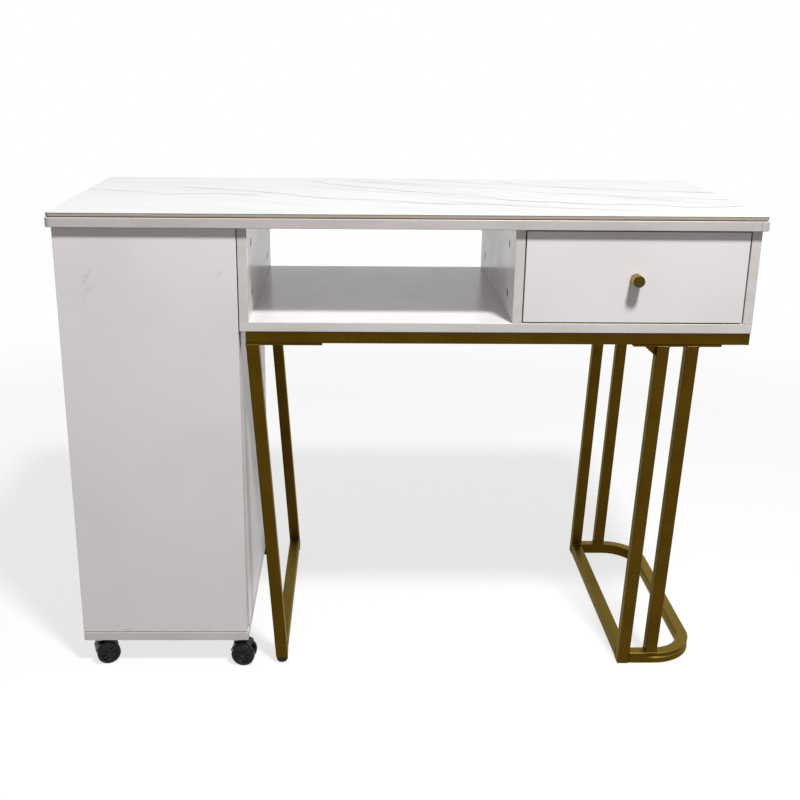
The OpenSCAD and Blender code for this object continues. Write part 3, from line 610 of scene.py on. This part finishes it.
def make_boards(face, band, core):
    for node, thin in BOARDS:
        low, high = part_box(node)
        bm = bmesh.new()
        add_block(bm, low, high, EDGE_ROUND, thin)
        piece = add_piece(node + "_board", bm, [face, band, core])
        holes = cam_holes(low, high)
        if holes:
            bore(piece, holes, 2)
        keep_flats(piece)
        stand_for(piece, node)
    for node in ("cabinet_shelves", "cabinet_top_rails"):
        bm = bmesh.new()
        for low, high in solids(node):
            add_block(bm, low, high, EDGE_ROUND, Z)
        piece = add_piece(node + "_boards", bm, [face, band])
        keep_flats(piece)
        stand_for(piece, node)


def make_backs(face):
    for node in ("cabinet_back", "drawer_bay_back", "drawer_bottom"):
        low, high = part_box(node)
        bm = bmesh.new()
        add_block(bm, low, high, 0.4 * MM)
        piece = add_piece(node + "_panel", bm, [face])
        keep_flats(piece)
        stand_for(piece, node)


# Rubbed marks on the door: (X and Z from its lower left corner, slope in degrees, length, width,
# depth of tone), in millimetres
SCUFFS = [
    ((48, 616), 60, 40, 9, 0.5), ((49, 596), 25, 28, 7, 0.45), ((44, 586), 70, 34, 5, 0.35),
    ((253, 623), 40, 24, 5, 0.4), ((74, 5), 5, 28, 4, 0.65), ((59, 11), -20, 18, 4, 0.45),
    ((199, 46), 60, 16, 3, 0.25), ((210, 7), 30, 14, 4, 0.4), ((-1, 383), 80, 60, 3, 0.25),
]


def make_door(band):
    low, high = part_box("door")
    scuffs = [(Vector((low.x + x * MM, low.y, low.z + z * MM)), slope, length * MM, width * MM, depth)
              for (x, z), slope, length, width, depth in SCUFFS]
    bm = bmesh.new()
    add_block(bm, low, high, EDGE_ROUND, Y)
    piece = add_piece("door_leaf", bm, [laminate("door_laminate", scuffs), band])
    keep_flats(piece)
    stand_for(piece, "door")


def make_top(face):
    low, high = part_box("top_board")
    rim = edge_band("top_band", TOP_BAND_WHITE, TOP_BAND_SHADE, [high.x - 14 * MM])
    stand_for(plate("top_board_panel", low, high, 9 * MM, 1.0 * MM, [face, rim]), "top_board")
    low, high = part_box("stone_slab")
    stand_for(plate("marble_slab", low, high, 7 * MM, 0.7 * MM, [marble(), stone_edge()]), "stone_slab")


# ---------- metal frame ----------

GROOVE_DEPTH = 4.8 * MM      # the crease that bending leaves in the base loop's outer face
GROOVE_HEIGHT = 2.5 * MM     # above the tube's centre line
GROOVE_WIDTH = 2.3 * MM
LOOP_BEND = 77 * MM          # outer radius of the base loop's bends
TUBE_CORNER = 2 * MM


def loop_section(half, depth):
    """The base loop's section as (outward, upward) points, with a crease in its outer face."""
    flat = half - TUBE_CORNER
    points = []
    for step in range(25):
        up = -flat + 2 * flat * step / 24
        dip = math.exp(-((up - GROOVE_HEIGHT) / GROOVE_WIDTH) ** 2)
        lips = math.exp(-((up - GROOVE_HEIGHT) / (2.2 * GROOVE_WIDTH)) ** 2) - dip
        points.append((half - depth * dip - 0.25 * depth * (1 - lips) * (depth > 0), up))
    corners = [((flat, flat), 0), ((-flat, flat), 90), ((-flat, -flat), 180), ((flat, -flat), 270)]
    for centre, start in corners:
        points += arc(centre, TUBE_CORNER, start, start + 90, 4)[(start == 0):5 - (start == 270)]
    return points


def loop_stations():
    """Places along the base loop: (centre, outward direction, share of the crease's depth)."""
    low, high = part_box("base_loop")
    half = (high.z - low.z) / 2
    bend = LOOP_BEND - half
    bend_x = high.x - LOOP_BEND
    front, back = low.y + LOOP_BEND, high.y - LOOP_BEND
    z = low.z + half
    stations = []
    run_in = 30
    for step in range(run_in + 1):
        x = low.x + (bend_x - low.x) * step / run_in
        crease = max(0.0, (step / run_in - 0.35) / 0.65) ** 1.5 * 0.6
        stations.append((Vector((x, low.y + half, z)), Vector((0, -1, 0)), crease))
    for step in range(1, 33):
        angle = math.radians(-90 + 90 * step / 32)
        out = Vector((math.cos(angle), math.sin(angle), 0))
        share = 0.6 + 0.4 * math.sin(math.pi * step / 32)
        stations.append((Vector((bend_x, front, z)) + bend * out, out, share))
    for step in range(1, 25):
        y = front + (back - front) * step / 24
        fade = max(0.0, 1 - step / 5, (step - 19) / 5)
        stations.append((Vector((bend_x + bend, y, z)), Vector((1, 0, 0)), 0.6 * fade ** 1.5))
    mirrored = [(Vector((c.x, low.y + high.y - c.y, c.z)), Vector((o.x, -o.y, 0)), s)
                for c, o, s in reversed(stations[:run_in + 33])]
    return half, stations[:-1] + mirrored


def make_base_loop(material):
    half, stations = loop_stations()
    bm = bmesh.new()
    rings = []
    for centre, out, share in stations:
        ring = loop_section(half, GROOVE_DEPTH * share)
        rings.append([centre + out * u + Vector((0, 0, w)) for u, w in ring])
    sweep(bm, rings)
    piece = add_piece("bent_base_tube", bm, [material], sharp=50)
    stand_for(piece, "base_loop")


def bead_ring(bm, corners, radius, seed):
    """A rippled weld bead along a closed row of corners."""
    rings = []
    count = len(corners)
    for i in range(count):
        start, end = corners[i], corners[(i + 1) % count]
        steps = max(2, int((end - start).length / (1.3 * MM)))
        for step in range(steps):
            point = start.lerp(end, step / steps)
            ripple = 1 + 0.22 * math.sin(2.1 * len(rings) + seed) + 0.12 * math.sin(0.7 * len(rings))
            rings.append((point, (end - start).normalized(), radius * ripple))
    centre = sum(corners, Vector()) / count
    skins = []
    for i, (point, along, size) in enumerate(rings):
        before = rings[i - 1][1]
        along = (along + before).normalized()
        out = (point - centre).normalized()
        side = along.cross(out).normalized()
        out = side.cross(along)
        skins.append([point + size * (math.cos(a) * out + math.sin(a) * side)
                      for a in [math.pi * k / 4 for k in range(8)]])
    sweep(bm, skins, closed=True)


def square_about(centre, first, second, half):
    """The corners of a square round a tube, in the plane of two axes."""
    corners = []
    for a, b in ((-1, -1), (1, -1), (1, 1), (-1, 1)):
        point = centre.copy()
        point[first] += a * half
        point[second] += b * half
        corners.append(point)
    return corners


BEAD_SIZE = 1.1 * MM
BEAD_FLOOR = 1.7 * MM        # lowest line of a weld bead, so that it stays above the floor


def make_welds(material):
    """Small painted weld beads round the frame's joints."""
    bm = bmesh.new()
    inset = 9.6 * MM
    joints = []
    for node in ("left_leg_posts", "right_inner_posts", "right_outer_posts"):
        lean = -1 if node == "left_leg_posts" else 1
        for low, high in solids(node):
            half = (high.y - low.y) / 2
            head = Vector((high.x - half if lean > 0 else low.x + half, low.y + half, high.z))
            joints.append((head, X, Y))
            if node == "right_outer_posts":
                foot = Vector((low.x + half, low.y + half, low.z))
                joints.append((foot, X, Y))
    for node in ("left_leg_stretcher", "right_leg_stretcher"):
        low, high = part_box(node)
        for y in (low.y, high.y):
            joints.append((Vector(((low.x + high.x) / 2, y, (low.z + high.z) / 2)), X, Z))
    for seed, (centre, first, second) in enumerate(joints):
        corners = square_about(centre, first, second, inset)
        for corner in corners:
            corner.z = max(corner.z, BEAD_FLOOR)
        bead_ring(bm, corners, BEAD_SIZE, seed)
    piece = add_piece("weld_beads", bm, [material])
    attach(piece, "table")


# ---------- knob ----------

def make_knob(material):
    low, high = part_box("knob")
    radius = (high.x - low.x) / 2
    length = high.y - low.y
    edge = 1.1 * MM
    ring = 0.35 * MM
    profile = [(0, 0), (radius - 0.5 * MM, 0), (radius, 0.5 * MM), (radius, 2.2 * MM),
               (radius - ring, 2.5 * MM), (radius - ring, 2.9 * MM), (radius, 3.2 * MM)]
    profile += arc((radius - edge, length - edge), edge, 0, 90, 5)
    profile += [(radius - edge - 0.2 * MM, length), (radius - 1.6 * MM, length - 0.15 * MM),
                (radius - 2.0 * MM, length), (0, length)]
    matrix = Matrix.Translation(((low.x + high.x) / 2, high.y, (low.z + high.z) / 2))
    bm = bmesh.new()
    lathe(bm, profile, matrix @ Matrix.Rotation(math.pi / 2, 4, "X"), 64)
    piece = add_piece("turned_knob", bm, [material], sharp=35)
    stand_for(piece, "knob")


# ---------- casters ----------

CASTERS = ("fl", "fr", "bl", "br")
RIBS = 7


def wheel_profile(radius, inner, outer):
    """One wheel from the middle of its outer face to the middle of its inner face."""
    edge = 2.4 * MM
    hub, rim = 4.6 * MM, 13.5 * MM
    floor = outer - 2.2 * MM
    profile = [(0, outer - 0.1 * MM), (hub - 1.4 * MM, outer - 0.2 * MM), (hub, outer - 0.9 * MM),
               (hub + 0.4 * MM, floor), (rim - 0.5 * MM, floor), (rim, floor + 0.5 * MM),
               (rim + 0.5 * MM, outer - 0.3 * MM), (rim + 1.1 * MM, outer)]
    profile += arc((radius - edge, outer - edge), edge, 90, 0, 6)
    profile += arc((radius - 1.2 * MM, inner + 1.2 * MM), 1.2 * MM, 0, -90, 4)
    return profile + [(3 * MM, inner), (0, inner)]


def make_wheels(material):
    rolls = {joint["child"]: joint for joint in frame["joints"]}
    for corner in CASTERS:
        node = "caster_wheels_" + corner
        joint = rolls["wheels_" + corner]
        axle = Vector(joint["axis"]).normalized()
        centre = Vector(joint["pos_m"])
        outer = max((v.co - centre).dot(axle) for v in NODES[node].data.vertices)
        inner = outer - WHEEL_WIDTH
        bm = bmesh.new()
        for side in (1, -1):
            turned = (axle * side).to_track_quat("Z", "Y").to_matrix().to_4x4()
            matrix = Matrix.Translation(centre) @ turned
            lathe(bm, wheel_profile(centre.z, inner, outer), matrix)
            for rib in range(RIBS):
                add_rib(bm, matrix @ Matrix.Rotation(2 * math.pi * rib / RIBS, 4, "Z"), outer)
        stand_for(add_piece("wheels_" + corner, bm, [material], sharp=40), node)


WHEEL_WIDTH = 9.5 * MM


def add_rib(bm, matrix, outer):
    """A thin spoke across the dished face of a wheel."""
    made = bmesh.ops.create_cube(bm, size=1)["verts"]
    low = Vector((4 * MM, -0.6 * MM, outer - 2.6 * MM))
    high = Vector((14 * MM, 0.6 * MM, outer - 0.7 * MM))
    centre, size = (low + high) / 2, high - low
    for vertex in made:
        vertex.co = matrix @ (centre + Vector([a * b for a, b in zip(vertex.co, size)]))


# ---------- light, floor and camera ----------

AMBIENT = 0.24               # what the room gives each surface, where 1 shows a colour as written
KEY = 1.12                   # what the key lamp adds to a surface that faces it
KEY_TOWARDS = Vector((0.41, -1.0, 1.7))
KEY_DISTANCE = 3.3
FLOOR_GREY = 0.27
FLOOR_WHITEN = 0.74


def seen_straight(tree):
    """1 for what the camera, a reflection or a clear surface sees, and 0 for the light on surfaces."""
    path = tree.nodes.new("ShaderNodeLightPath")
    value = path.outputs["Is Camera Ray"]
    for name in ("Is Glossy Ray", "Is Transmission Ray"):
        most = tree.nodes.new("ShaderNodeMath")
        most.operation = "MAXIMUM"
        tree.links.new(value, most.inputs[0])
        tree.links.new(path.outputs[name], most.inputs[1])
        value = most.outputs[0]
    return value


def make_world():
    world = bpy.data.worlds.new("studio")
    world.use_nodes = True
    tree = world.node_tree
    strength = tree.nodes.new("ShaderNodeMapRange")
    tree.links.new(seen_straight(tree), strength.inputs["Value"])
    strength.inputs["To Min"].default_value = AMBIENT
    strength.inputs["To Max"].default_value = 1.0
    background = tree.nodes["Background"]
    background.inputs["Color"].default_value = (1, 1, 1, 1)
    tree.links.new(strength.outputs[0], background.inputs["Strength"])
    bpy.context.scene.world = world


def make_key_lamp():
    data = bpy.data.lights.new("key", "AREA")
    data.shape = "DISK"
    data.size = 0.45
    data.energy = KEY * math.pi ** 2 * KEY_DISTANCE ** 2
    lamp = bpy.data.objects.new("key", data)
    lamp.location = Vector((0, 0, 0.45)) + KEY_TOWARDS.normalized() * KEY_DISTANCE
    lamp.rotation_mode = "QUATERNION"
    lamp.rotation_quaternion = KEY_TOWARDS.to_track_quat("Z", "Y")
    bpy.context.scene.collection.objects.link(lamp)


def floor_material():
    """Pale floor that holds the shadow near the part and runs out to plain white."""
    finish = Finish("floor", Roughness=0.9, Specular_IOR_Level=0.0)
    spots = finish.noise(0.4, 3)
    shade = finish.math("ADD", FLOOR_GREY, finish.math("MULTIPLY", finish.math("SUBTRACT", spots, 0.5), 0.02))
    finish.set("Base Color", shade)
    seen = seen_straight(finish.tree)
    glow = finish.node("Emission", {"Strength": finish.math("MULTIPLY", seen, FLOOR_WHITEN)})
    near = finish.node("AddShader")
    finish.put(near.inputs[0], finish.shader.outputs[0])
    finish.put(near.inputs[1], glow.outputs[0])
    white = finish.node("Emission", {"Strength": 1.0})
    distance = finish.node("VectorMath", {0: finish.place}, operation="LENGTH").outputs["Value"]
    far = finish.math("MULTIPLY", finish.remap(distance, 1.0, 2.6), seen)
    both = finish.node("MixShader", {"Fac": far})
    finish.put(both.inputs[1], near.outputs[0])
    finish.put(both.inputs[2], white.outputs[0])
    finish.put(finish.tree.nodes["Material Output"].inputs["Surface"], both.outputs[0])
    return finish.material


def make_floor():
    bm = bmesh.new()
    bmesh.ops.create_grid(bm, x_segments=1, y_segments=1, size=30)
    bmesh.ops.translate(bm, verts=bm.verts, vec=(0, 0, -0.3 * MM))
    add_piece("floor", bm, [floor_material()])


def make_camera():
    """A camera in front of the table, a little left of its middle, looking down at it."""
    place = Vector((-0.0799, -1.8358, 1.0255))
    yaw, pitch, roll = 0.0178, 0.3051, -0.0090
    right = Vector((math.cos(yaw), -math.sin(yaw), 0))
    ahead = Vector((math.sin(yaw), math.cos(yaw), 0)) * math.cos(pitch) - Vector((0, 0, math.sin(pitch)))
    up = right.cross(ahead)
    right, up = (right * math.cos(roll) - up * math.sin(roll),
                 right * math.sin(roll) + up * math.cos(roll))
    data = bpy.data.cameras.new("camera")
    data.sensor_width = 36
    data.lens = 48.216
    data.shift_x = 0.0325
    data.shift_y = -0.0236
    camera = bpy.data.objects.new("camera", data)
    turn = Matrix((right, up, -ahead)).transposed().to_4x4()
    camera.matrix_world = Matrix.Translation(place) @ turn
    bpy.context.scene.collection.objects.link(camera)
    bpy.context.scene.camera = camera


# ---------- the whole scene ----------

def dress_cad_nodes(paint):
    """Materials for the CAD nodes whose own shape shows."""
    dress(paint, "frame_front_rail", "frame_back_rail", "frame_end_rails", "leg_plates", "gussets",
          "left_leg_posts", "left_leg_stretcher",
          "right_inner_posts", "right_outer_posts", "right_leg_stretcher")
    zinc = steel("zinc_plate", STEEL, STEEL_SHADE)
    dress(zinc, "shelf_pins", "door_pivot_pins", "strike_plate", "cam_bolts", "knob_screw",
          "drawer_front_screws", "slide_outer_members", "slide_middle_members", "slide_inner_members",
          "frame_screws", "caster_stems")
    dress(steel("cam_zinc", CAM_ZINC, CAM_SHADE, 0.6), "cam_locks")
    dress(adhesive(), "slab_adhesive")
    dress(plastic("bush_nylon", IVORY, srgb(196, 188, 172)), "pivot_bushes")
    dress(plastic("latch_plastic", LATCH_GREY, srgb(120, 121, 124)), "latch_housing", "latch_plunger")
    dress(plastic("foot_rubber", BLACK, BLACK_DUSTY, (0.5, 0.7)), "foot_plugs")
    body = plastic("caster_nylon", BLACK, BLACK_DUSTY, (0.25, 0.4))
    for corner in CASTERS:
        dress(body, "caster_body_" + corner)
        dress(zinc, "caster_axle_" + corner)


scene = bpy.context.scene
scene.view_settings.view_transform = "Standard"
make_camera()
make_world()
make_key_lamp()
make_floor()

board_face = laminate("board_laminate")
band = edge_band("board_band", BAND_WHITE, BAND_SHADE)
make_boards(board_face, band, chipboard())
make_backs(hardboard())
make_door(band)
make_top(board_face)
dress(board_face, "drawer_side_left", "drawer_side_right")

frame_gold = gold()
make_base_loop(frame_gold)
make_welds(frame_gold)
make_knob(knob_metal())
make_wheels(plastic("wheel_nylon", BLACK, BLACK_DUSTY, (0.22, 0.38)))
dress_cad_nodes(frame_gold)
